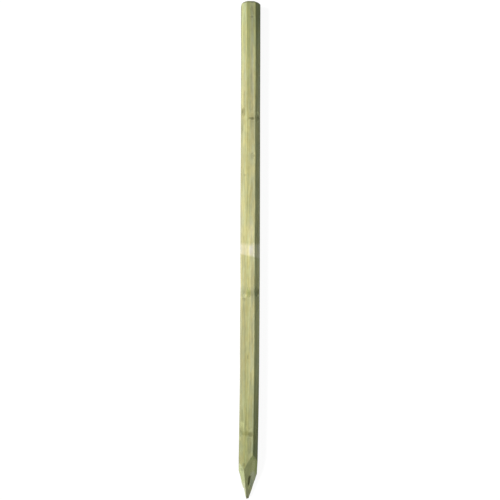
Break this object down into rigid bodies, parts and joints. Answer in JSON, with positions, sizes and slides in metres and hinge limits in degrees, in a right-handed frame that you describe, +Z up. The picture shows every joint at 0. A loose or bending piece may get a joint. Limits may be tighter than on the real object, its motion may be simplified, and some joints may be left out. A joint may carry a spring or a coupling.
{
  "type": "wooden fence stake",
  "caption": "Sawn softwood fence stake with an uneven eight-sided section, a bevelled head and a hewn point, slightly bowed near the foot.",
  "frame": {"origin": "on the underside, the flat that the stake lies on, below the middle of the straight part's axis at half length", "axes": "+Y along the stake from the point to the head, +Z up from the underside to the top flat, +X to the side away from the bow"},
  "size_m": [0.0758, 1.8001, 0.068],
  "materials": {
    "treated_softwood": "rough sawn, green preservative"
  },
  "bodies": {
    "root": {"stake": "treated_softwood"}
  },
  "joints": []
}
